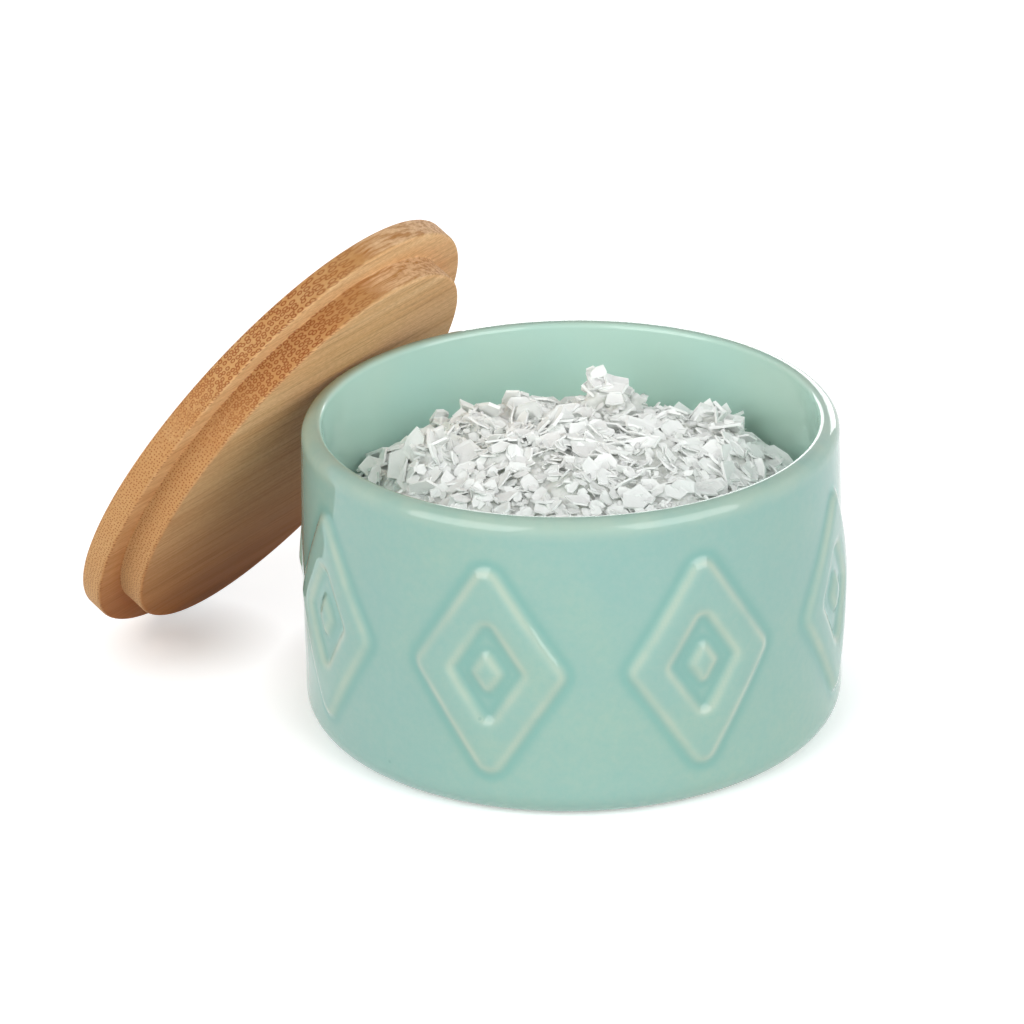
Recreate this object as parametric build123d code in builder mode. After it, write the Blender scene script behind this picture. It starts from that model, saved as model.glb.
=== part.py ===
from build123d import *
from math import cos, hypot, radians, sin, sqrt
import os

# Salt cellar, all sizes in millimetres. A glazed stoneware pot stands on the table with
# a heap of flake salt in it, and its turned bamboo plug lid leans on the rim.
# Origin: centre of the pot's foot, on the table. +Z is up, and the lid leans on the -X side.

# ---- driving dimensions ----
# Pot
pot_h = 63.8
foot_r = 54.9
belly_r = 55.0
rim_r = 54.2
belly_h = 31.0
wall_t = 4.2
floor_t = 5.0
foot_round = 6.0
lip_round_out = 2.8
lip_round_in = 1.3
inner_round = 8.0

# Raised lozenge frames round the pot
motif_count = 8
motif_turn = 15.0
motif_w = 31.0
motif_margin_top = 8.0
motif_margin_foot = 7.5
motif_stroke = 7.0
motif_corner = 3.0
motif_relief = 1.1
motif_edge = 0.5
motif_root = 1.5
heart_w = 6.4
heart_h = 10.0
heart_corner = 1.2

# Bamboo lid: a disc that covers the rim, with a plug that drops into the mouth
lid_inset = 0.6
lid_t = 5.2
plug_gap = 2.6
plug_d = 5.8
lid_ease = 0.8
lid_lean = 58.0
lean_gap = 0.3

# Salt. The heap is a low dome with mounds on it, and scoops where flakes have slid away.
# Each mound or scoop is the cap of a ball: how far across and along from the axis, as
# shares of the salt's radius, how far it stands off the dome, and the ball's radius.
salt_gap = 0.3
salt_below_rim = 20.3
heap_rise = 12.6
heap_mounds = (
    (-0.20, 0.46, 2.8, 9.0),
    (-0.42, 0.34, 2.6, 8.0),
    (0.12, 0.48, 2.2, 8.0),
    (0.46, 0.44, 3.2, 8.0),
    (-0.52, 0.06, 2.2, 8.0),
    (-0.46, -0.30, 2.6, 9.0),
    (-0.10, 0.18, 1.7, 9.0),
    (0.26, 0.20, 2.2, 10.0),
    (0.52, -0.06, 1.8, 7.0),
    (0.18, -0.24, 2.0, 9.0),
    (-0.22, -0.14, 1.8, 7.0),
    (-0.12, -0.52, 1.8, 8.0),
    (0.30, -0.54, 1.8, 8.0),
)
heap_scoops = (
    (-0.74, -0.50, 4.0, 13.0),
    (0.06, -0.02, 2.0, 6.0),
    (-0.02, 0.38, 1.8, 5.0),
)

# ---- worked-out sizes ----
mouth_r = min(foot_r, belly_r, rim_r) - wall_t
lid_r = rim_r - lid_inset
plug_r = mouth_r - plug_gap
motif_h = pot_h - motif_margin_top - motif_margin_foot
motif_z = motif_margin_foot + motif_h / 2
salt_r = mouth_r - salt_gap
salt_foot = floor_t + salt_gap
salt_edge_z = pot_h - salt_below_rim
salt_peak_z = salt_edge_z + heap_rise
dome_r = (salt_r**2 + heap_rise**2) / (2 * heap_rise)


def side_arc(proud):
    """The pot's bellied side from foot to rim, moved outwards by proud."""
    foot = (foot_r + proud, 0)
    belly = (belly_r + proud, belly_h)
    rim = (rim_r + proud, pot_h)
    return ThreePointArc(foot, belly, rim)


def lozenge(width, height, corner):
    """An upright lozenge with rounded corners, centred on its plane."""
    half_w, half_h = width / 2, height / 2
    with BuildSketch() as shape:
        with BuildLine():
            Polyline((half_w, 0), (0, half_h), (-half_w, 0), (0, -half_h), close=True)
        make_face()
        fillet(shape.vertices(), corner)
    return shape.sketch


# ---- lip rounds ----
# The more the side flares at the rim, the more of the lip's flat top its outer round takes
# for each millimetre of its radius. Both rounds shrink together where they would meet.
rim_run = side_arc(0) % 1
flare = (1 + rim_run.X) / rim_run.Y
top_taken = lip_round_out * flare + lip_round_in
lip_fit = min(1, 0.96 * (rim_r - mouth_r) / top_taken)
lip_out = lip_round_out * lip_fit
lip_in = lip_round_in * lip_fit

# ---- raised motif ----
# A rounded lozenge frame with a small lozenge in its heart. Each is a bar from the pot's
# axis out through its side, trimmed to a skin that follows the bellied side.
inner_scale = 1 - 2 * motif_stroke * hypot(motif_w, motif_h) / (motif_w * motif_h)
bar_out = side_arc(2 * motif_relief).bounding_box().max.X
motif_plane = Plane(origin=(bar_out, 0, motif_z), x_dir=(0, 1, 0), z_dir=(1, 0, 0))
frame_outside = lozenge(motif_w, motif_h, motif_corner)
frame_opening = lozenge(motif_w * inner_scale, motif_h * inner_scale, motif_corner / 2)
frame_heart = lozenge(heart_w, heart_h, heart_corner)
with BuildPart() as motif:
    with BuildSketch(motif_plane):
        add(frame_outside)
        add(frame_opening, mode=Mode.SUBTRACT)
        add(frame_heart)
    extrude(amount=-bar_out)
    with BuildSketch(Plane.XZ):
        with BuildLine():
            skin = side_arc(motif_relief)
            root = side_arc(-motif_root)
            Line(skin @ 0, root @ 0)
            Line(skin @ 1, root @ 1)
        make_face()
    revolve(axis=Axis.Z, mode=Mode.INTERSECT)
    skin_edges = ShapeList()
    for piece in motif.solids():
        skin_face = piece.faces().sort_by(lambda face: face.center(CenterOf.BOUNDING_BOX).X)[-1]
        skin_edges += skin_face.edges()
    fillet(skin_edges, motif_edge)

# ---- pot ----
# One turned section: bellied side, rounded lip, straight inner wall and a coved floor.
with BuildPart() as pot:
    with BuildSketch(Plane.XZ) as section:
        with BuildLine():
            side = side_arc(0)
            Polyline(side @ 1, (mouth_r, pot_h), (mouth_r, floor_t), (0, floor_t), (0, 0), side @ 0)
        make_face()
        for corner, round_r in (
            ((foot_r, 0), foot_round),
            ((rim_r, pot_h), lip_out),
            ((mouth_r, pot_h), lip_in),
            ((mouth_r, floor_t), inner_round),
        ):
            fillet(section.vertices().sort_by_distance(corner)[0], round_r)
    revolve(axis=Axis.Z)
    with PolarLocations(0, motif_count, start_angle=motif_turn):
        add(motif.part)

# ---- salt ----
# One closed solid for the fill: it stops a hair short of the glaze all round, and its top
# is a low dome with the mounds added and the scoops taken out.
def dome_z(out):
    """Height of the dome at a distance from the axis."""
    return salt_peak_z - dome_r + sqrt(dome_r**2 - out**2)


with BuildPart() as salt:
    with BuildSketch(Plane.XZ):
        with BuildLine():
            dome = ThreePointArc(
                (0, salt_peak_z), (salt_r / 2, dome_z(salt_r / 2)), (salt_r, salt_edge_z)
            )
            Polyline(dome @ 1, (salt_r, salt_foot), (0, salt_foot), dome @ 0)
        make_face()
    revolve(axis=Axis.Z)
    fillet(salt.edges().group_by(Axis.Z)[0], inner_round)
    for across, along, rise, ball_r in heap_mounds:
        x, y = across * salt_r, along * salt_r
        with Locations((x, y, dome_z(hypot(x, y)) + rise - ball_r)):
            Sphere(ball_r)
    for across, along, depth, ball_r in heap_scoops:
        x, y = across * salt_r, along * salt_r
        with Locations((x, y, dome_z(hypot(x, y)) - depth + ball_r)):
            Sphere(ball_r, mode=Mode.SUBTRACT)

# ---- lid ----
# The lower arris of the lid's disc stands on the table and the face of its plug lies
# against the outer round of the lip. Both touches fix where the middle of that face is.
lean = radians(lid_lean)
lip_centre_x = -(rim_r - lip_out * flare)
lip_centre_z = pot_h - lip_out
face_z = lid_ease + (lid_r - lid_ease) * sin(lean) - (plug_d + lid_ease) * cos(lean)
reach = lip_out + lean_gap + (lip_centre_z - face_z) * cos(lean)
face_x = lip_centre_x - reach / sin(lean)

plug_face = Plane(
    origin=(face_x, 0, face_z),
    x_dir=(cos(lean), 0, sin(lean)),
    z_dir=(sin(lean), 0, -cos(lean)),
)
with BuildPart() as lid:
    with BuildSketch(plug_face.offset(-plug_d - lid_t)):
        Circle(lid_r)
    extrude(amount=lid_t)
    with BuildSketch(plug_face.offset(-plug_d)):
        Circle(plug_r)
    extrude(amount=plug_d)
    lid_axis = Axis(plug_face.origin, plug_face.z_dir)
    circles = lid.edges().filter_by(GeomType.CIRCLE).group_by(SortBy.RADIUS)
    fillet(circles[-1] + circles[0].sort_by(lid_axis)[-1:], lid_ease)

# ---- write ----
os.makedirs("parts", exist_ok=True)
for name, piece in (("pot", pot), ("salt", salt), ("lid", lid)):
    piece.part.label = name
    export_step(piece.part, f"parts/{name}.step")
    print(name, piece.part.bounding_box())
print("face of the plug", round(face_x, 3), round(face_z, 3))
print("salt from", salt_edge_z, "to", salt_peak_z, "mouth radius", mouth_r)
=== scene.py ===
# %% [markdown]
# # A salt cellar: glazed pot, flake salt and a bamboo lid
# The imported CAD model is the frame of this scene. It holds three solids: the pot, the fill
# of salt and the lid that leans on the rim. It is loaded first, and every piece made below
# stands in its coordinates, in metres, with the pot's foot on the table at the origin.

# %% Load the frame
import math
import random

import bmesh
import bpy
import numpy as np
from mathutils import Euler, Matrix, Quaternion, Vector, noise


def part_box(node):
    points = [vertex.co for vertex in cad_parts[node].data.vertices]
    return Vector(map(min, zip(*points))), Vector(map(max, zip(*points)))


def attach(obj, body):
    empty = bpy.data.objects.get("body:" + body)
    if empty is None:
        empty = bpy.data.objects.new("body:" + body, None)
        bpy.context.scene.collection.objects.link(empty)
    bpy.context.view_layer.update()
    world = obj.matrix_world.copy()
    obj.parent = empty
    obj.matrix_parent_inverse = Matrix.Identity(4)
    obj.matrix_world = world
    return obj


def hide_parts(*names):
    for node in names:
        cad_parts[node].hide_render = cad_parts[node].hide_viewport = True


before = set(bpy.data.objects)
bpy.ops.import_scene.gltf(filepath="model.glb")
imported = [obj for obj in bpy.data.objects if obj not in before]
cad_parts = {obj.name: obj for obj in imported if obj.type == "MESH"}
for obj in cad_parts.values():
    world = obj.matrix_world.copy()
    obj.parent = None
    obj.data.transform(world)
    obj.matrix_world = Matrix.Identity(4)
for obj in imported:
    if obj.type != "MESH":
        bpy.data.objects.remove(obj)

MM = 0.001
WEDGES = 8
scene = bpy.context.scene
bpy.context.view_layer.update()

# %% [markdown]
# ## Turning a section
# Pot, lid and the crust of the salt are all round, so each is made as a potter or a wood turner
# makes it: half of its section is drawn once and turned about the upright axis. The corners
# of the section are drawn sharp and then rounded by a bevel on their points, because a
# rounded arris is what catches the light on glaze and on wood. The flat face is only there
# for the bevel. It goes before the long edges are cut into rows. Then one wedge of the round
# is spun in fine columns, copies of it complete the turn, and their seams are merged.

# %% A helper that turns a section
def turned(corners, rounds, row_at, columns):
    """Turns a half section of (radius, height) corners, in millimetres. Row_at gives how
    long an edge may stay, from the radius and height of its middle."""
    bm = bmesh.new()
    points = [bm.verts.new((radius * MM, 0, height * MM)) for radius, height in corners]
    bm.faces.new(points)
    for index, (radius, segments) in rounds.items():
        bmesh.ops.bevel(bm, geom=[points[index]], offset=radius * MM, offset_type="OFFSET",
                        segments=segments, profile=0.5, affect="VERTICES", material=-1)
    bmesh.ops.delete(bm, geom=bm.faces[:], context="FACES_ONLY")
    on_axis = [edge for edge in bm.edges if max(abs(end.co.x) for end in edge.verts) < 1e-7]
    bmesh.ops.delete(bm, geom=on_axis, context="EDGES")
    for edge in bm.edges[:]:
        middle = (edge.verts[0].co + edge.verts[1].co) / 2 / MM
        cuts = int(edge.calc_length() / (row_at(middle.x, middle.z) * MM))
        if cuts:
            bmesh.ops.subdivide_edges(bm, edges=[edge], cuts=cuts)
    axis = {"cent": (0, 0, 0), "axis": (0, 0, 1)}
    bmesh.ops.spin(bm, geom=bm.verts[:] + bm.edges[:], angle=math.tau / WEDGES,
                   steps=columns // WEDGES, **axis)
    others = WEDGES - 1
    bmesh.ops.spin(bm, geom=bm.verts[:] + bm.edges[:] + bm.faces[:], steps=others,
                   angle=math.tau * others / WEDGES, use_duplicate=True, **axis)
    bmesh.ops.remove_doubles(bm, verts=bm.verts, dist=1e-6)
    bmesh.ops.recalc_face_normals(bm, faces=bm.faces)
    return bm


def finished(bm, name, body, node, smooth=True):
    """Gives the mesh its object, and says what it rides on and which solid it stands for."""
    mesh = bpy.data.meshes.new(name)
    bm.to_mesh(mesh)
    bm.free()
    mesh.polygons.foreach_set("use_smooth", [smooth] * len(mesh.polygons))
    piece = bpy.data.objects.new(name, mesh)
    scene.collection.objects.link(piece)
    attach(piece, body)
    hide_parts(node)
    print(name, len(mesh.vertices), "points", len(mesh.polygons), "faces")
    return piece


# %% [markdown]
# ## The pot
# The pot is cast stoneware: a slightly bellied wall, a soft lip and a straight inner wall
# that runs into a coved floor. The section is turned in fine columns and rows, because the
# raised pattern on the wall is pushed out of this same skin afterwards.

# %% Turn the pot
foot_r, belly_r, rim_r, mouth_r = 54.9, 55.0, 54.2, 50.0
pot_h, belly_h, floor_t = 63.8, 31.0, 5.0
sole_r = foot_r - 14
fine_row, wide_row, pot_columns = 0.66, 9.0, 608
wall_corners = [(0, floor_t), (mouth_r, floor_t), (mouth_r, pot_h), (rim_r, pot_h),
                (foot_r, 0), (sole_r, 0), (0, 0)]
wall_rounds = {1: (8.0, 8), 2: (1.3, 6), 3: (2.8, 8), 4: (6.0, 9)}


def pot_rows(out, up):
    """Fine rows on the outer skin, where the pattern goes, and wide ones elsewhere."""
    return fine_row if out > 53 else wide_row


pot_bm = turned(wall_corners, wall_rounds, pot_rows, pot_columns)
print("pot skin", len(pot_bm.verts), "points")

# %% [markdown]
# ## The raised lozenges
# Eight lozenge frames with a small lozenge in their heart stand about a millimetre proud of
# the wall, as if pressed in the mould. A signed distance says how far each point of the skin
# is from the frame's outline, negative inside, so one soft step in that distance gives the
# raised band, its rounded shoulder and the fillet at its foot, however the outline runs.

# %% A signed distance to the pattern
motif_count, motif_turn, motif_w, motif_h, motif_z = 8, 15.0, 31.0, 48.3, 31.65
motif_corner, motif_stroke, motif_relief = 3.0, 7.0, 1.08
heart_w, heart_h, heart_corner = 6.4, 10.0, 1.2


def lozenge_distance(across, up, width, height, corner):
    """Distance to the edge of an upright lozenge with rounded corners, negative inside."""
    half_w, half_h = width / 2, height / 2
    shrink = 1 - corner * math.hypot(half_w, half_h) / (half_w * half_h)
    half_w, half_h = half_w * shrink, half_h * shrink
    across, up = np.abs(across), np.abs(up)
    along = (half_w - 2 * across) * half_w - (half_h - 2 * up) * half_h
    along = np.clip(along / (half_w**2 + half_h**2), -1, 1)
    gap = np.hypot(across - half_w * (1 - along) / 2, up - half_h * (1 + along) / 2)
    side = np.sign(across * half_h + up * half_w - half_w * half_h)
    return gap * side - corner


def pattern_distance(turn, height, radius):
    """Distance to the nearest raised band of the eight lozenges, in millimetres."""
    pitch = math.tau / motif_count
    bearing = (turn - math.radians(motif_turn) + pitch / 2) % pitch - pitch / 2
    across, up = radius * np.sin(bearing), height - motif_z
    diagonal = 2 * motif_stroke * math.hypot(motif_w, motif_h) / (motif_w * motif_h)
    opening_w, opening_h = motif_w * (1 - diagonal), motif_h * (1 - diagonal)
    outer = lozenge_distance(across, up, motif_w, motif_h, motif_corner)
    opening = lozenge_distance(across, up, opening_w, opening_h, motif_corner / 2)
    heart = lozenge_distance(across, up, heart_w, heart_h, heart_corner)
    return np.minimum(np.maximum(outer, -opening), heart)


print("distance at a lozenge's centre", pattern_distance(math.radians(motif_turn), motif_z, 55.0))

# %% [markdown]
# ## Belly, pattern and a potter's unevenness
# Every point of the outer skin moves straight out from the axis: by the belly of the side,
# by the height of the pattern, and by a slow wander of a tenth of a millimetre, inwards
# only, so that the reflections in the glaze run as unevenly as on a fired pot. The same
# distances are kept on the points as attributes, which the glaze reads afterwards:
# where it has run thin, where it has pooled, where the clay was left bare, and the inside.

# %% Push the pattern out and note where glaze gathers
pot = finished(pot_bm, "stoneware_pot", "pot", "pot")
skin = np.empty(len(pot.data.vertices) * 3)
pot.data.vertices.foreach_get("co", skin)
skin = skin.reshape(-1, 3) / MM
radius, height = np.hypot(skin[:, 0], skin[:, 1]), skin[:, 2]
turn = np.arctan2(skin[:, 1], skin[:, 0])


def ease(edge_0, edge_1, value):
    """A smooth step from 0 at edge_0 to 1 at edge_1."""
    t = np.clip((value - edge_0) / (edge_1 - edge_0), 0, 1)
    return t * t * (3 - 2 * t)


outside = ease(mouth_r + 0.8, mouth_r + 2.4, radius)
bulge = (belly_r - foot_r - (rim_r - foot_r) * belly_h / pot_h) / (belly_h * (pot_h - belly_h))
bulge = bulge * height * (pot_h - height)
distance = pattern_distance(turn, height, radius)
shoulder_in, shoulder_run, shoulder_round = 2.8, 3.3, 2.2
shoulder = np.clip((distance + shoulder_in) / shoulder_run, 0, 1) ** shoulder_round
raised = motif_relief * (1 - shoulder) * (radius > mouth_r + 2)
wander_depth, wander_waves = 0.12, 0.035
wander = np.array([noise.noise(Vector(point) * wander_waves) for point in skin])
wander = wander_depth * (wander - 1) * ease(4, 14, height) * outside
grown = radius + bulge * outside + raised + wander
scale = grown / np.maximum(radius, 1e-6)
skin[:, 0] *= scale
skin[:, 1] *= scale
pot.data.vertices.foreach_set("co", (skin * MM).ravel())
pot.data.update()

on_wall = outside * ease(3, 8, height) * (1 - ease(pot_h - 4, pot_h - 1, height))


def band(at, width):
    """A soft band that follows the pattern's outline, at a distance outwards from it."""
    return np.exp(-(((distance - at) / width) ** 2)) * on_wall


lip = ease(pot_h - 4.5, pot_h - 0.8, height) * ease(mouth_r - 0.2, mouth_r + 1.0, radius)
thin = np.maximum(band(-0.7, 0.8), 0.75 * lip)
pooled = band(1.1, 1.2)
bare_r = 50.0
bare = (1 - ease(0.05, 0.5, height)) * (1 - ease(bare_r, bare_r + 2.0, radius))
inside = (1 - ease(mouth_r + 0.2, mouth_r + 1.2, radius)) * ease(floor_t - 1, floor_t, height)
notes = {"thin_glaze": thin, "pooled_glaze": pooled, "bare_clay": bare, "inside": inside}
for label, values in notes.items():
    layer = pot.data.attributes.new(label, "FLOAT", "POINT")
    layer.data.foreach_set("value", values.astype(np.float32))
print("outermost point", round(float(np.hypot(skin[:, 0], skin[:, 1]).max()), 3), "mm")

# %% [markdown]
# ## Colours and a helper for materials
# Colours are easiest to name as a paint shop does, from 0 to 255 per channel. The renderer
# works in linear light, so a small helper converts them. Another helper adds a node, sets
# its inputs and returns it, so that a material reads from top to bottom like a recipe. The
# rest are short names for the nodes used most: maths, a mix, a range, a noise and a bump.

# %% Helpers for colours and nodes
def paint(red, green, blue):
    """A display colour from 0 to 255 as linear light with full cover."""
    def linear(c):
        c /= 255
        return c / 12.92 if c <= 0.04045 else ((c + 0.055) / 1.055) ** 2.4
    return (linear(red), linear(green), linear(blue), 1.0)


class Recipe:
    """One material's node tree, with short ways to add and join its nodes."""

    def __init__(self, name):
        self.material = bpy.data.materials.new(name)
        self.material.use_nodes = True
        self.tree = self.material.node_tree
        self.shader = self.tree.nodes["Principled BSDF"]
        self.place = self.add("ShaderNodeTexCoord").outputs["Object"]

    def add(self, kind, inputs=None, **settings):
        """Adds a node. Inputs are values, or other nodes' outputs to link."""
        node = self.tree.nodes.new(kind)
        for key, value in settings.items():
            setattr(node, key, value)
        for key, value in (inputs or {}).items():
            self.feed(node.inputs[key], value)
        return node

    def feed(self, socket, value):
        """Sets a socket, or links it when the value is another node's output."""
        if isinstance(value, bpy.types.NodeSocket):
            self.tree.links.new(value, socket)
        else:
            socket.default_value = value

    def maths(self, operation, first, second=0.0):
        """The result of a Math node."""
        node = self.add("ShaderNodeMath", operation=operation)
        self.feed(node.inputs[0], first)
        self.feed(node.inputs[1], second)
        return node.outputs[0]

    def blend(self, amount, first, second):
        """A mix of two colours."""
        node = self.add("ShaderNodeMix", data_type="RGBA")
        self.feed(node.inputs[0], amount)
        self.feed(node.inputs[6], first)
        self.feed(node.inputs[7], second)
        return node.outputs[2]

    def span(self, value, low, high, to_low=0.0, to_high=1.0):
        """A value mapped from one range to another, held within it."""
        node = self.add("ShaderNodeMapRange", {"Value": value, "From Min": low, "From Max": high,
                                               "To Min": to_low, "To Max": to_high})
        return node.outputs[0]

    def grain(self, scale, detail=2.0, rough=0.5, place=None):
        """Noise over the piece, at so many waves to the metre."""
        node = self.add("ShaderNodeTexNoise", {"Vector": place or self.place, "Scale": scale,
                                               "Detail": detail, "Roughness": rough})
        return node.outputs[0]

    def kept(self, label):
        """The value that the mesh keeps on its points under a label."""
        return self.add("ShaderNodeAttribute", attribute_name=label).outputs["Fac"]

    def relief(self, height, distance, strength=1.0, under=None):
        """A bump that reads a height, on top of another one if there is one."""
        inputs = {"Height": height, "Distance": distance, "Strength": strength}
        if under is not None:
            inputs["Normal"] = under
        return self.add("ShaderNodeBump", inputs).outputs[0]


# %% [markdown]
# ## Celadon glaze
# Celadon is a thick, clear, green-blue glass over a pale body. It runs off raised edges,
# where the body shows through warm and pale, and gathers beside them, where it is deepest.
# So the base colour drifts slowly between two greens under a fine mottle, and the attributes
# of the mesh blend in the pale edge, the teal pool, a painted light that makes the inner wall
# paler, and the bare clay of the foot. It is a smooth gloss, with a slight swell of the surface
# and a few pinholes.

# %% The glaze
glaze = Recipe("celadon")
drift = glaze.span(glaze.grain(26, 2.0), 0.35, 0.65)
cloud = glaze.span(glaze.grain(85, 3.0, 0.6), 0.3, 0.7)
green = glaze.blend(drift, paint(141, 177, 168), paint(146, 179, 165))
green = glaze.blend(glaze.maths("MULTIPLY", cloud, 0.45), green, paint(132, 173, 167))
mottle = glaze.span(glaze.grain(620, 4.0, 0.7), 0.35, 0.7, 0.0, 0.3)
green = glaze.blend(mottle, green, paint(120, 172, 164))
# Painted light: the inner wall gets a paler green than the outside, standing in for light on it.
inside_painted_light = glaze.blend(drift, paint(181, 218, 207), paint(186, 217, 203))
green = glaze.blend(glaze.kept("inside"), green, inside_painted_light)
deep = glaze.maths("MULTIPLY", glaze.kept("pooled_glaze"), 0.6)
green = glaze.blend(deep, green, paint(108, 164, 156))
patchy = glaze.span(glaze.grain(140, 2.0), 0.3, 0.6, 0.35, 0.7)
worn = glaze.maths("MULTIPLY", glaze.kept("thin_glaze"), patchy)
green = glaze.blend(worn, green, paint(178, 194, 176))
pin = glaze.add("ShaderNodeTexVoronoi", {"Vector": glaze.place, "Scale": 75.0})
pin_spot = glaze.span(pin.outputs["Distance"], 0.02, 0.035, 0.35, 0.0)
green = glaze.blend(pin_spot, green, paint(110, 150, 140))
bare_clay = glaze.kept("bare_clay")
clay = glaze.blend(glaze.grain(900, 3.0, 0.7), paint(214, 204, 186), paint(196, 184, 164))
glaze.feed(glaze.shader.inputs["Base Color"], glaze.blend(bare_clay, green, clay))
glaze.feed(glaze.shader.inputs["Roughness"], glaze.span(bare_clay, 0, 1, 0.06, 0.8))
swell = glaze.relief(glaze.grain(55, 2.0, 0.5), 0.0003, 0.4)
swell = glaze.relief(glaze.maths("MULTIPLY", pin_spot, -1.0), 0.0001, 0.6, swell)
glaze.feed(glaze.shader.inputs["Normal"], swell)
pot.data.materials.append(glaze.material)
print("glaze nodes", len(glaze.tree.nodes))

# %% [markdown]
# ## The lid
# The lid is turned from a block of laminated bamboo: a disc as wide as the rim, and below it
# a plug that drops into the mouth. Its arrises are only eased. It is turned about its own
# axis and then set down where it leans, with its lower arris on the table and the face of
# its plug against the rim, by one matrix that is worked into the mesh.

# %% Turn the lid and set it down
lid_r, plug_r, lid_t, plug_d = 53.6, 47.4, 5.2, 5.8
lid_corners = [(0, -lid_t), (lid_r - 2.0, -lid_t), (lid_r, -lid_t), (lid_r, 0), (plug_r + 0.9, 0),
               (plug_r, 0), (plug_r, plug_d), (plug_r - 2.0, plug_d), (0, plug_d)]
lid_rounds = {2: (0.8, 5), 3: (0.8, 5), 5: (0.25, 2), 6: (0.8, 5)}
lid_row, lid_columns = 6.0, 304
lid_bm = turned(lid_corners, lid_rounds, lambda out, up: lid_row, lid_columns)

lean = math.radians(58.0)
plug_face = Vector((-66.984, 0, 42.079)) * MM
outwards = Vector((math.sin(lean), 0, -math.cos(lean)))
uphill = Vector((math.cos(lean), 0, math.sin(lean)))
stand = Matrix((uphill, outwards.cross(uphill), outwards)).transposed().to_4x4()
stand.translation = plug_face - outwards * plug_d * MM
bmesh.ops.transform(lid_bm, matrix=stand, verts=lid_bm.verts)
lid = finished(lid_bm, "bamboo_lid", "lid", "lid")
solid_low, solid_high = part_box("lid")
print("solid lid from", [round(c, 4) for c in solid_low], "to", [round(c, 4) for c in solid_high])

# %% [markdown]
# ## Bamboo
# Bamboo is a bundle of straight dark fibres in tan pith. Seen end on, on the round edge of
# the lid, each fibre bundle is a small reddish ring. Along the grain, on the flat faces, the
# same bundles are long fine streaks. Both are read in coordinates turned so that X runs
# with the grain. How far a face looks along the grain, from its normal, picks between them,
# and how far up the lid a point is picks between the glued strips.

# %% Coordinates along the grain
bamboo = Recipe("oiled_bamboo")
with_grain = stand.to_3x3() @ Vector((0, 1, 0))
across = stand.to_3x3() @ Vector((1, 0, 0))
through = with_grain.cross(across)
to_grain = Matrix((with_grain, across, through)).to_euler()
in_grain = bamboo.add("ShaderNodeMapping", {"Vector": bamboo.place, "Rotation": to_grain})
in_grain = in_grain.outputs[0]
faces = bamboo.add("ShaderNodeTexCoord").outputs["Normal"]


def stretched(place, along):
    """Coordinates in which a pattern is drawn out along the grain."""
    return bamboo.add("ShaderNodeMapping", {"Vector": place, "Scale": (along, 1, 1)}).outputs[0]


def facing(direction):
    """How far a face looks in a direction, from -1 to 1."""
    inputs = {0: faces, 1: direction}
    return bamboo.add("ShaderNodeVectorMath", inputs, operation="DOT_PRODUCT").outputs["Value"]


drawn_out, stubby = stretched(in_grain, 0.02), stretched(in_grain, 0.3)
end_on, face_on = facing(with_grain), facing(through)
near_end = bamboo.span(end_on, 0.02, 0.14)
far_end = bamboo.span(end_on, -0.72, -0.92)
end_grain = bamboo.maths("MAXIMUM", near_end, far_end)
flat_face = bamboo.span(bamboo.maths("ABSOLUTE", face_on), 0.4, 0.9)
uphill_at = bamboo.add("ShaderNodeSeparateXYZ", {"Vector": in_grain}).outputs[1]
middle_at = across.dot(plug_face)
upper_part = bamboo.span(uphill_at, middle_at + 0.016, middle_at + 0.034)
print("grain runs along", [round(c, 3) for c in with_grain])

# %% [markdown]
# The fibre bundles are the cells of a flat Voronoi pattern in the plane across the grain,
# slightly bent by noise. It has no depth along the grain, so where the edge of the lid turns
# to run with the grain, the rings draw out to streaks by themselves, as cut fibres do. A
# colour ramp over the distance to the middle of the cell draws the ring. Bundles are smaller
# and closer near the skin of the cane, so the lower strips get small dots instead of rings.
# Along the grain, a noise that is stretched thirty to fifty times makes hair-fine streaks.

# %% The fibre bundles
sway = bamboo.add("ShaderNodeTexNoise", {"Vector": in_grain, "Scale": 120.0, "Detail": 2.0})
sway = sway.outputs["Color"]
sway_by = (0.0012, 0.0012, 0.0012)
bend = bamboo.add("ShaderNodeVectorMath", {0: sway, 1: sway_by}, operation="MULTIPLY").outputs[0]
bend = bamboo.add("ShaderNodeVectorMath", {0: bend, 1: in_grain}, operation="ADD").outputs[0]
bent = bamboo.add("ShaderNodeSeparateXYZ", {"Vector": bend})
section = bamboo.add("ShaderNodeCombineXYZ", {0: bent.outputs[1], 1: bent.outputs[2]}).outputs[0]


def bundles(scale, levels):
    """Small marks, so many to the metre across the grain, dark where the levels say so."""
    inputs = {"Vector": section, "Scale": scale, "Randomness": 0.55}
    cells = bamboo.add("ShaderNodeTexVoronoi", inputs, voronoi_dimensions="2D")
    mark = bamboo.add("ShaderNodeValToRGB", {"Fac": cells.outputs["Distance"]})
    stops = mark.color_ramp.elements
    stops[0].position, stops[0].color = 0.0, (levels[0],) * 3 + (1,)
    stops[1].position, stops[1].color = 0.5, (0, 0, 0, 1)
    for place, level in zip((0.12, 0.2, 0.29, 0.37), levels[1:]):
        stops.new(place).color = (level,) * 3 + (1,)
    return mark.outputs[0]


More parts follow.
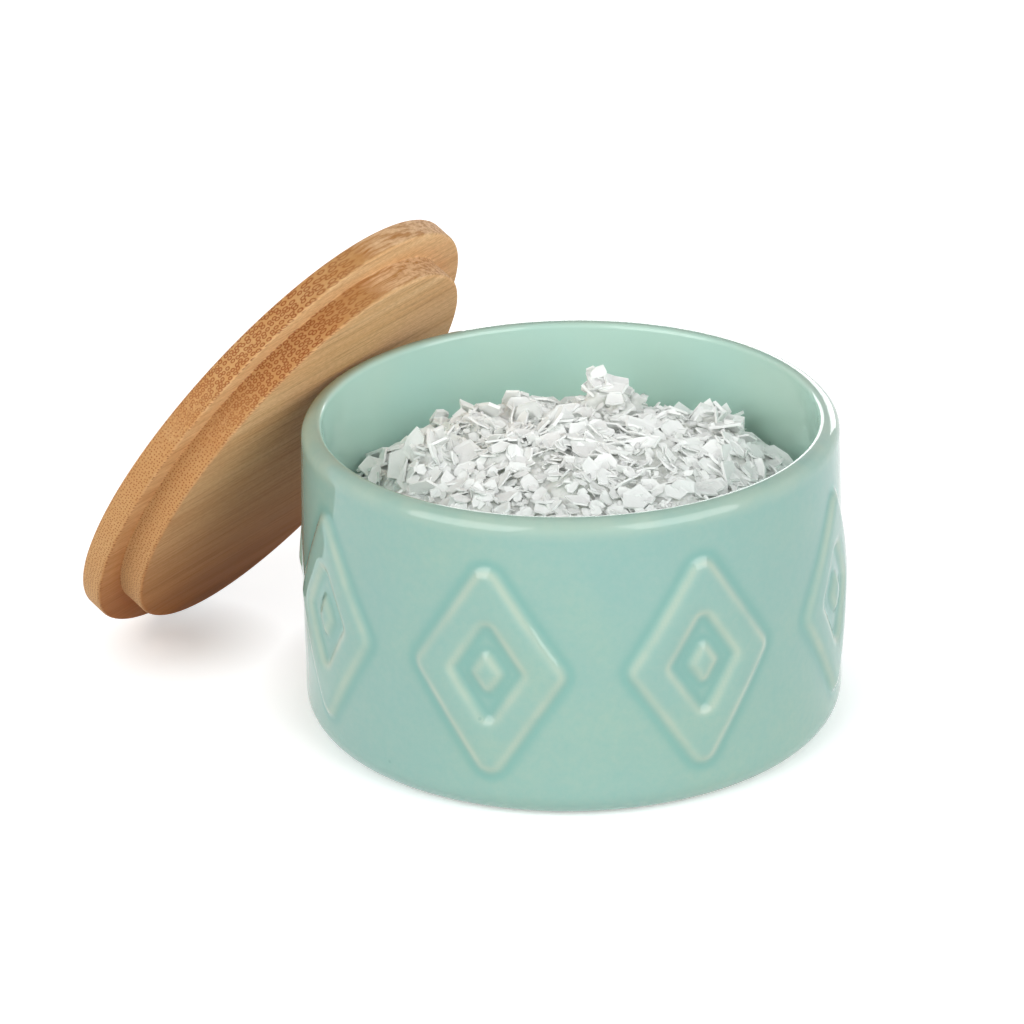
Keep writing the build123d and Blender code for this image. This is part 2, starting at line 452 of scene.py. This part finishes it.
rings = bundles(1130.0, (0.3, 0.1, 0.3, 1.0, 0.8))
dots = bundles(1500.0, (1.0, 0.85, 0.4, 0.1, 0.0))
ends = bamboo.blend(upper_part, dots, rings)
slanting = bamboo.maths("MAXIMUM", bamboo.span(end_on, 0.1, 0.45, 0.35, 1.0), far_end)
ends = bamboo.maths("MULTIPLY", ends, slanting)
hair = bamboo.grain(1300, 4.0, 0.65, drawn_out)
coarse = bamboo.span(bamboo.grain(1500, 3.0, 0.6, stretched(bend, 0.03)), 0.42, 0.62)
streaks = bamboo.blend(flat_face, coarse, bamboo.span(hair, 0.48, 0.74))
dark = bamboo.add("ShaderNodeMix", {0: end_grain, 2: streaks, 3: ends}, data_type="FLOAT")
dark = dark.outputs[0]
print("nodes so far", len(bamboo.tree.nodes))

# %% [markdown]
# The pith drifts between straw and orange from one glued strip to the next, and along each.
# The underside is painted browner towards its low end and paler towards its top, a painted
# shade and a painted light, and the upper face keeps one even tone. The edge is painted paler
# towards its foot, a painted light against the shade by the table. Oil makes the wood warm and
# leaves hardly any gloss.

# %% The colours of the bamboo
in_strips = {"Vector": drawn_out, "Scale": 80.0, "Randomness": 0.4}
strips = bamboo.add("ShaderNodeTexVoronoi", in_strips).outputs["Color"]
strip_tone = bamboo.add("ShaderNodeSeparateColor", {"Color": strips}).outputs[0]
cloud = bamboo.span(bamboo.grain(210, 3.0, 0.55, drawn_out), 0.32, 0.68)
pith = bamboo.blend(strip_tone, paint(194, 153, 103), paint(182, 137, 86))
pith = bamboo.blend(cloud, pith, paint(184, 134, 82))
# Painted light: the lower edge is painted paler towards its foot, against the shade it gets by
# the table.
foot_up = bamboo.span(uphill_at, middle_at - 0.05, middle_at + 0.01)
foot_painted_light = bamboo.blend(foot_up, paint(228, 188, 138), paint(194, 151, 103))
pith = bamboo.blend(bamboo.span(upper_part, 0.0, 1.0, 0.6, 0.0), pith, foot_painted_light)
# Painted shade and light: flat faces go brown towards the low end and pale towards the top; the
# upper face is held pale and even.
painted_lit_share = bamboo.span(uphill_at, middle_at - 0.042, middle_at + 0.044)
upper_face = bamboo.span(face_on, 0.0, 0.5, 0.0, 0.7)
painted_lit_share = bamboo.maths("MAXIMUM", painted_lit_share, upper_face)
painted_shade_end = bamboo.blend(cloud, paint(177, 99, 38), paint(157, 83, 28))
painted_light_end = bamboo.blend(cloud, paint(252, 210, 158), paint(242, 190, 134))
painted_light_and_shade = bamboo.blend(painted_lit_share, painted_shade_end, painted_light_end)
pith = bamboo.blend(end_grain, bamboo.blend(coarse, paint(222, 184, 142), pith), pith)
pith = bamboo.blend(bamboo.maths("MULTIPLY", flat_face, 0.85), pith, painted_light_and_shade)
fleck = bamboo.span(bamboo.grain(2400, 2.0, 0.6, stubby), 0.35, 0.7, 0.0, 0.35)
pith = bamboo.blend(fleck, pith, paint(172, 114, 64))
depth = bamboo.maths("MULTIPLY", flat_face, 0.5)
depth = bamboo.maths("MAXIMUM", bamboo.span(end_grain, 0, 1, 0.2, 0.9), depth)
fibre = bamboo.blend(end_grain, paint(156, 96, 50), paint(130, 62, 32))
wood = bamboo.blend(bamboo.maths("MULTIPLY", dark, depth), pith, fibre)
bamboo.feed(bamboo.shader.inputs["Base Color"], wood)
bamboo.feed(bamboo.shader.inputs["Roughness"], bamboo.span(hair, 0.3, 0.7, 0.5, 0.65))
bamboo.feed(bamboo.shader.inputs["Specular IOR Level"], 0.05)
pores = bamboo.relief(bamboo.maths("MULTIPLY", dark, -1.0), 0.00006, 0.5)
bamboo.feed(bamboo.shader.inputs["Normal"], pores)
lid.data.materials.append(bamboo.material)
print("bamboo nodes", len(bamboo.tree.nodes))

# %% [markdown]
# ## The bed of salt
# Below the loose flakes lies salt that has settled to a crust. Its top is a low dome with
# mounds on it and scoops where flakes have slid away, each the cap of a ball, as in the
# solid. A cap is written as how far it lies across and along, as shares of the salt's radius,
# how far it stands off the dome, and its ball's radius. The heap sinks towards the wall, leans
# a little to the camera's right, and is crumbled by noise. It is a function of the place, so
# that the flakes can be laid on the same ground. The crust reaches a hair into the glaze, so
# that no dark gap is left round it.

# %% The heap
salt_r, salt_foot, salt_edge, heap_rise = 49.7, 5.3, 43.5, 12.6
dome_r = (salt_r**2 + heap_rise**2) / (2 * heap_rise)
heap_mounds = ((-0.20, 0.46, 2.8, 9.0), (-0.42, 0.34, 2.6, 8.0), (0.12, 0.48, 2.2, 8.0),
               (0.46, 0.44, 3.2, 8.0), (-0.52, 0.06, 2.2, 8.0), (-0.46, -0.30, 2.6, 9.0),
               (-0.10, 0.18, 1.7, 9.0), (0.26, 0.20, 2.2, 10.0), (0.52, -0.06, 1.8, 7.0),
               (0.18, -0.24, 2.0, 9.0), (-0.22, -0.14, 1.8, 7.0), (-0.12, -0.52, 1.8, 8.0),
               (0.30, -0.54, 1.8, 8.0))
heap_scoops = ((-0.74, -0.50, 4.0, 13.0), (0.06, -0.02, 2.0, 6.0), (-0.02, 0.38, 1.8, 5.0))
sink, sink_from, sink_width, heap_lean = 3.0, 0.84, 0.16, 0.025
view_turn = math.radians(33.5)
to_right = Vector((math.cos(view_turn), math.sin(view_turn)))
to_back = Vector((-math.sin(view_turn), math.cos(view_turn)))


def dome(out):
    """Height of the dome at a distance from the axis, in millimetres."""
    return salt_edge + heap_rise - dome_r + math.sqrt(dome_r**2 - min(out, salt_r) ** 2)


def heap(x, y):
    """Height of the salt at a place: the dome, raised by the mounds and cut by the scoops."""
    out = math.hypot(x, y)
    sunk = sink * max(0, out / salt_r - sink_from) / sink_width
    level = dome(out) - sunk + heap_lean * Vector((x, y)).dot(to_right)
    for sign, choose, caps in ((1, max, heap_mounds), (-1, min, heap_scoops)):
        for across, along, stand_off, ball in caps:
            reach = ball**2 - (x - across * salt_r) ** 2 - (y - along * salt_r) ** 2
            if reach > 0:
                middle = dome(math.hypot(across, along) * salt_r) + sign * stand_off - sign * ball
                level = choose(level, middle + sign * math.sqrt(reach))
    return level


print("heap at the axis", round(heap(0, 0), 2), "and at the edge", round(heap(salt_r, 0), 2))

# %% Turn the crust and crumble its top
crust_deep, into_glaze = 8.0, 0.1
crust_z, crust_r = salt_edge - crust_deep, mouth_r + into_glaze
crust_corners = [(0, salt_edge), (crust_r, salt_edge), (crust_r, crust_z), (0, crust_z)]
crust_row, crust_columns = 0.9, 240


def crust_rows(out, up):
    """Fine rows on the top, which is pushed up to the heap, and wide ones elsewhere."""
    return crust_row if up > salt_edge - 0.5 else wide_row


salt_bm = turned(crust_corners, {}, crust_rows, crust_columns)
for point in salt_bm.verts:
    if point.co.z > (salt_edge - 0.1) * MM:
        spot = Vector((point.co.x, point.co.y, 0)) / MM
        crumb = 0.8 * noise.noise(spot * 0.55) + 0.5 * noise.noise(spot * 1.3)
        point.co.z = (heap(spot.x, spot.y) + crumb) * MM
print("crust", len(salt_bm.verts), "points")

# %% [markdown]
# ## Flakes
# Flake salt grows as thin plates with broken edges, often with a stepped hollow in them, and
# crumbles to small chips. Fourteen plates and four chips are made once: a ring of points is
# pulled out of round, filled, given its thickness and a step. Each has only a dozen or two
# faces, because a few thousand of them are laid on the heap. All chance comes from one
# seeded generator, so the heap is the same every time.

# %% Make the crystals
chance = random.Random(41)


def crystal(corners, thick, ragged):
    """A thin broken plate about one unit across, with a stepped hollow in its upper side."""
    bm = bmesh.new()
    bmesh.ops.create_circle(bm, cap_ends=True, segments=corners, radius=0.5)
    for point in bm.verts:
        point.co *= 1 + chance.uniform(-ragged, ragged)
        point.co.z += chance.uniform(-0.02, 0.02)
    step = bmesh.ops.extrude_face_region(bm, geom=bm.faces[:])
    risen = [g for g in step["geom"] if isinstance(g, bmesh.types.BMVert)]
    bmesh.ops.translate(bm, verts=risen, vec=(chance.uniform(-0.05, 0.05), 0, thick))
    top = [g for g in step["geom"] if isinstance(g, bmesh.types.BMFace)]
    ledge, hollow = chance.uniform(0.08, 0.16), thick * 0.25
    bmesh.ops.inset_region(bm, faces=top, thickness=ledge, depth=-hollow)
    bmesh.ops.recalc_face_normals(bm, faces=bm.faces)
    mesh = bpy.data.meshes.new("crystal")
    bm.to_mesh(mesh)
    bm.free()
    return mesh


plates = [crystal(chance.randint(5, 7), chance.uniform(0.07, 0.11), 0.27) for _ in range(14)]
chips = [crystal(chance.randint(4, 6), chance.uniform(0.4, 0.7), 0.25) for _ in range(4)]
print("faces in a crystal", [len(m.polygons) for m in plates + chips])

# %% [markdown]
# ## Laying the flakes
# Each crystal gets a place, a size and a tilt. Chips are pressed half into the crust and
# heaped under the piles, as the rubble that carries the rest. Plates lie loose on top, most
# of them nearly flat on the slope and some on edge. The salt was poured from behind, so the
# big plates lie mostly in the back half and the crumbs have rolled to the front. The middle
# of each crystal stays off the wall by a share of its size, so that none cuts into the glaze.

# %% Lay the flakes on the heap
rubble_bm, flakes_bm = bmesh.new(), bmesh.new()
least_plate, wall_share, chips_under = 2.6, 0.62, 7


def lay(mesh, x, y, size, tilt, lift):
    """Lays one crystal at a place on the heap: a chip in the rubble, a plate on top of it.
    It is as thick as its size says, but a plate never thinner than one of least_plate."""
    least = least_plate if mesh in plates else 0
    slope = Vector((heap(x - 2, y) - heap(x + 2, y), heap(x, y - 2) - heap(x, y + 2), 4.0))
    lie = slope.to_track_quat("Z", "Y").to_matrix()
    tilts = chance.gauss(0, tilt), chance.gauss(0, tilt), chance.uniform(0, math.tau)
    spin = Euler(tilts, "XYZ").to_matrix()
    narrow, thickness = chance.uniform(0.5, 0.9), max(size, least) * chance.uniform(0.8, 1.1)
    grown = Matrix.Diagonal((size, size * narrow, thickness))
    place = (lie @ spin @ grown * MM).to_4x4()
    place.translation = Vector((x, y, heap(x, y) + lift)) * MM
    laid = mesh.copy()
    laid.transform(place)
    (flakes_bm if mesh in plates else rubble_bm).from_mesh(laid)
    bpy.data.meshes.remove(laid)


def scatter(meshes, count, sizes, tilt, lift, backward):
    """Lays crystals over the whole heap. Backward is the share of them sorted to the back,
    or to the front if it is negative."""
    for _ in range(count):
        out, bearing = salt_r * math.sqrt(chance.random()), chance.uniform(0, math.tau)
        size = chance.uniform(*sizes)
        out = min(out, salt_r - wall_share * size)
        spot = Vector((out * math.cos(bearing), out * math.sin(bearing)))
        if spot.dot(to_back) * backward < 0 and chance.random() < abs(backward):
            spot = spot - 2 * spot.dot(to_back) * to_back
        lay(chance.choice(meshes), spot.x, spot.y, size, tilt, chance.uniform(*lift))


def pile(right, back, spread, count, sizes, height):
    """Heaps plates on one spot, steeper and higher than the ground, with chips under them."""
    for level in range(count):
        size = chance.uniform(*sizes)
        rightward, backward = right + chance.gauss(0, spread), back + chance.gauss(0, spread)
        spot = rightward * to_right + backward * to_back
        spot *= min(1, (salt_r - wall_share * size) / spot.length)
        lift = height * level / count
        lay(chance.choice(plates), spot.x, spot.y, size, 0.75, lift)
        for _ in range(chips_under):
            x, y = spot.x + chance.gauss(0, 1.6), spot.y + chance.gauss(0, 1.6)
            chip = chance.choice(chips)
            lay(chip, x, y, chance.uniform(1.8, 3.2), 0.6, chance.uniform(-1.0, 0.85 * lift))


# What to lay, how many, their sizes, their tilt, how far off the heap, and the sorted share.
scatter(chips, 1000, (1.0, 2.0), 0.5, (-0.9, -0.2), -0.7)
scatter(chips, 700, (1.4, 2.8), 0.5, (-1.0, 0.0), 0.0)
scatter(plates, 1700, (1.6, 3.2), 0.45, (0.0, 1.0), 0.0)
scatter(plates, 750, (2.8, 5.2), 0.35, (0.2, 1.2), 0.0)
scatter(plates, 220, (4.4, 7.6), 0.32, (0.3, 1.4), 0.6)
scatter(plates, 24, (6.5, 9.5), 0.32, (0.5, 1.6), 0.9)
# How far right and back of the axis, the spread, how many plates, their sizes, the height.
pile(8, 28, 2.6, 30, (3.5, 7.0), 6.6)
pile(-18, 24, 5.0, 26, (4.0, 8.0), 3.6)
pile(-31, 3, 3.0, 18, (4.0, 8.5), 3.2)
pile(30, 20, 4.0, 24, (4.0, 8.5), 4.2)
loose = bpy.data.meshes.new("rubble")
rubble_bm.to_mesh(loose)
rubble_bm.free()
salt_bm.from_mesh(loose)
salt_bm.to_mesh(loose)
salt_bm.free()
for mesh in plates + chips:
    bpy.data.meshes.remove(mesh)
flakes = finished(flakes_bm, "loose_flakes", "pot", "salt", smooth=False)

# %% [markdown]
# ## One skin over the crust
# Salt is translucent, and light can only wander through it where no crystal's wall lies
# hidden inside another. So the crust and its rubble are made one closed skin by a voxel
# remesh, fine enough to keep the chips. Its flat underside is then cut away, and the open
# edge is drawn down the inside of the pot, round the cove of the floor, and closed.

# %% Join crust and rubble to one skin
grains = bpy.data.objects.new("grains", loose)
scene.collection.objects.link(grains)
skin_over = grains.modifiers.new("skin", "REMESH")
skin_over.mode = "VOXEL"
skin_over.voxel_size = 0.5 * MM
remeshed = grains.evaluated_get(bpy.context.evaluated_depsgraph_get())
skinned = bpy.data.meshes.new_from_object(remeshed)
bpy.data.objects.remove(grains)
bpy.data.meshes.remove(loose)
salt_bm = bmesh.new()
salt_bm.from_mesh(skinned)
bpy.data.meshes.remove(skinned)
print("skin", len(salt_bm.faces), "faces")

low = [face for face in salt_bm.faces if face.calc_center_median().z < (crust_z + 1.5) * MM]
bmesh.ops.delete(salt_bm, geom=low, context="FACES")
rim_edges = [edge for edge in salt_bm.edges if edge.is_boundary]
cove = 8.0
profile = [(salt_r, salt_foot + cove)]
for step in range(1, 5):
    angle = math.radians(22.5 * step)
    cove_r = salt_r - cove + cove * math.cos(angle)
    cove_z = salt_foot + cove - cove * math.sin(angle)
    profile.append((cove_r, cove_z))
for radius_now, height_now in profile:
    grown_edges = bmesh.ops.extrude_edge_only(salt_bm, edges=rim_edges)["geom"]
    rim_edges = [g for g in grown_edges if isinstance(g, bmesh.types.BMEdge)]
    for point in [g for g in grown_edges if isinstance(g, bmesh.types.BMVert)]:
        flat = point.co.xy.normalized() * radius_now * MM
        point.co = Vector((flat.x, flat.y, height_now * MM))
bmesh.ops.holes_fill(salt_bm, edges=rim_edges)
bmesh.ops.recalc_face_normals(salt_bm, faces=salt_bm.faces)
open_edges = sum(not edge.is_manifold for edge in salt_bm.edges)
print("open edges", open_edges, "rim", len(rim_edges))
salt = finished(salt_bm, "flake_salt", "pot", "salt", smooth=True)

# %% [markdown]
# ## Salt
# Light enters the heap and comes out a few millimetres further on, which is why it looks
# soft. Subsurface scattering does that in the crust, where fine crumbs and frost give it
# tooth. The loose plates are too thin to hold much light, so they are a frosted, nearly
# white matt with a little sheen, which throws the light on to the plates beside them.

# %% The salt
def salt_recipe(name, white, settings, relief):
    """A salt white: two tones that drift, the shader's own settings, and a relief."""
    recipe = Recipe(name)
    shade = recipe.span(recipe.grain(180, 3.0, 0.6), 0.3, 0.7)
    recipe.feed(recipe.shader.inputs["Base Color"], recipe.blend(shade, *white))
    for socket, value in settings.items():
        recipe.feed(recipe.shader.inputs[socket], value)
    recipe.feed(recipe.shader.inputs["Normal"], relief(recipe))
    return recipe


def crusty(recipe):
    """Crumbs a millimetre and a half across, with frost on them."""
    crumbs = recipe.add("ShaderNodeTexVoronoi", {"Vector": recipe.place, "Scale": 620.0})
    lumps = recipe.relief(crumbs.outputs["Distance"], 0.0006, 0.6)
    return recipe.relief(recipe.grain(1900, 3.0, 0.65), 0.00015, 0.5, lumps)


def frosted(recipe):
    """The fine tooth on the face of a plate."""
    return recipe.relief(recipe.grain(1900, 3.0, 0.65), 0.00012, 0.4)


in_crust = {"Roughness": 0.65, "Specular IOR Level": 0.3, "Subsurface Weight": 1.0,
            "Subsurface Radius": (1.0, 1.0, 0.95), "Subsurface Scale": 0.0026}
in_plates = {"Roughness": 0.6, "Specular IOR Level": 0.3, "Subsurface Weight": 0.15,
             "Subsurface Radius": (1.0, 1.0, 0.95), "Subsurface Scale": 0.0015,
             "Sheen Weight": 0.2, "Sheen Roughness": 0.4}
crust_white = paint(218, 222, 216), paint(236, 238, 234)
plate_white = paint(241, 244, 241), paint(248, 250, 248)
crust_salt = salt_recipe("flake_salt", crust_white, in_crust, crusty)
plate_salt = salt_recipe("salt_plates", plate_white, in_plates, frosted)
salt.data.materials.append(crust_salt.material)
flakes.data.materials.append(plate_salt.material)
print("salt nodes", len(crust_salt.tree.nodes), len(plate_salt.tree.nodes))

# %% [markdown]
# ## The table and the surround
# The object stands on white. For the camera and for mirror reflections the table gives off
# its own white, with a share of plain diffuse in it that keeps the shadow. Close to where
# the lid and the pot touch down, the glow gives way to more of the diffuse, so that the
# contact shadows are deep there and fade out quickly. For the light that bounces about it is
# an ordinary white table. The world does the same: white to the eye, with a darker ceiling
# that shows in the glaze, and a softer light on the object.

# %% A white table that keeps the shadow
table_bm = bmesh.new()
bmesh.ops.create_grid(table_bm, x_segments=1, y_segments=1, size=4.0)
table_mesh = bpy.data.meshes.new("table")
table_bm.to_mesh(table_mesh)
table_bm.free()
table = bpy.data.objects.new("table", table_mesh)
scene.collection.objects.link(table)

sheet = Recipe("white_table")
ray = sheet.add("ShaderNodeLightPath")
seen = sheet.maths("MAXIMUM", ray.outputs["Is Camera Ray"], ray.outputs["Is Glossy Ray"])
seen = sheet.maths("MAXIMUM", seen, ray.outputs["Is Transmission Ray"])
matt = sheet.add("ShaderNodeBsdfDiffuse", {"Color": (0.86, 0.85, 0.83, 1)})
lid_foot = (-0.088, -0.022, 0.0)
lid_touch, lid_fade = 0.006, 0.026
pot_touch, pot_fade = 0.055, 0.07
glow_far, glow_near = 0.88, 0.3
faint_far, faint_near = (0.4, 0.4, 0.4, 1), (1, 1, 1, 1)
to_lid = sheet.add("ShaderNodeVectorMath", {0: sheet.place, 1: lid_foot}, operation="DISTANCE")
to_pot = sheet.add("ShaderNodeVectorMath", {0: sheet.place}, operation="LENGTH")
near_lid = sheet.span(to_lid.outputs["Value"], lid_touch, lid_fade, 1.0, 0.0)
near_pot = sheet.span(to_pot.outputs["Value"], pot_touch, pot_fade, 1.0, 0.0)
near = sheet.maths("MAXIMUM", near_lid, near_pot)
glow_level = sheet.span(near, 0.0, 1.0, glow_far, glow_near)
glow = sheet.add("ShaderNodeEmission", {"Strength": glow_level})
faint_tone = sheet.blend(near, faint_far, faint_near)
faint = sheet.add("ShaderNodeBsdfDiffuse", {"Color": faint_tone})
both = sheet.add("ShaderNodeAddShader", {0: faint.outputs[0], 1: glow.outputs[0]})
pick = sheet.add("ShaderNodeMixShader", {0: seen, 1: matt.outputs[0], 2: both.outputs[0]})
sheet.tree.links.new(pick.outputs[0], sheet.tree.nodes["Material Output"].inputs["Surface"])
sheet.tree.nodes.remove(sheet.shader)
table.data.materials.append(sheet.material)

world = bpy.data.worlds.new("surround")
scene.world = world
world.use_nodes = True
sky = world.node_tree
ray = sky.nodes.new("ShaderNodeLightPath")
either = sky.nodes.new("ShaderNodeMath")
either.operation = "MAXIMUM"
sky.links.new(ray.outputs["Is Camera Ray"], either.inputs[0])
sky.links.new(ray.outputs["Is Glossy Ray"], either.inputs[1])
way = sky.nodes.new("ShaderNodeTexCoord")
split = sky.nodes.new("ShaderNodeSeparateXYZ")
sky.links.new(way.outputs["Generated"], split.inputs[0])
wall = sky.nodes.new("ShaderNodeMapRange")
for name, value in (("From Min", 0.42), ("From Max", 0.62), ("To Min", 1.0), ("To Max", 0.3)):
    wall.inputs[name].default_value = value
sky.links.new(split.outputs["Z"], wall.inputs["Value"])
level = sky.nodes.new("ShaderNodeMapRange")
level.inputs["To Min"].default_value = 0.2
sky.links.new(wall.outputs[0], level.inputs["To Max"])
sky.links.new(either.outputs[0], level.inputs["Value"])
sky.links.new(level.outputs[0], sky.nodes["Background"].inputs["Strength"])
sky.nodes["Background"].inputs["Color"].default_value = (1, 1, 1, 1)
print("table and surround are set")

# %% [markdown]
# ## Lamps
# Two large softboxes stand to the left and right of the camera, 25 degrees up. They put the
# bright patches on the lip and on the shoulders of the pattern. A wide one overhead lights
# the salt and the tops, and is kept out of the reflections. A long low panel behind grazes
# the lip and gives it its thin white line.

# %% Two softboxes, one overhead and a back panel
def softbox(name, bearing, climb, far, width, height, power):
    """An area lamp that looks at the pot. Bearing 0 is over the camera, positive is right."""
    turn_angle = view_turn + math.radians(bearing)
    rise = math.radians(climb)
    level_x, level_y = math.sin(turn_angle), -math.cos(turn_angle)
    direction = Vector((level_x * math.cos(rise), level_y * math.cos(rise), math.sin(rise)))
    lamp = bpy.data.lights.new(name, "AREA")
    lamp.shape = "RECTANGLE"
    lamp.size, lamp.size_y, lamp.energy = width, height, power
    holder = bpy.data.objects.new(name, lamp)
    scene.collection.objects.link(holder)
    holder.location = Vector((0, 0, 0.05)) + direction * far
    holder.rotation_euler = direction.to_track_quat("Z", "Y").to_euler()
    return holder


# Bearing and climb in degrees, distance, width and height in metres, and power in watts.
softbox("softbox_left", -47, 25, 1.3, 1.15, 1.1, 12.0)
softbox("softbox_right", 47, 25, 1.3, 1.15, 1.1, 12.0)
overhead = softbox("overhead", 8, 70, 1.3, 2.0, 1.6, 4.0)
overhead.visible_glossy = False
softbox("back_panel", 180, 11, 1.4, 1.8, 0.45, 9.0)

# %% [markdown]
# ## The camera
# A long lens looks down on the cellar at about 24 degrees, from the side where the lid
# leans to the left and shows the face of its plug. A slight roll of the camera is worked
# into its rotation.

# %% The camera
lens = bpy.data.cameras.new("camera")
lens.sensor_width = 36.0
lens.lens = 175.8
lens.clip_start = 0.05
camera = bpy.data.objects.new("camera", lens)
scene.collection.objects.link(camera)
eye = Vector((502.49, -780.89, 450.27)) * MM
aim = Vector((-10.8, -5.5, 42.0)) * MM
roll = -0.0202
look = (aim - eye).to_track_quat("-Z", "Y") @ Quaternion((0, 0, 1), roll)
camera.location = eye
camera.rotation_euler = look.to_euler()
scene.camera = camera
scene.view_settings.view_transform = "Standard"
print("camera", [round(c, 3) for c in eye])
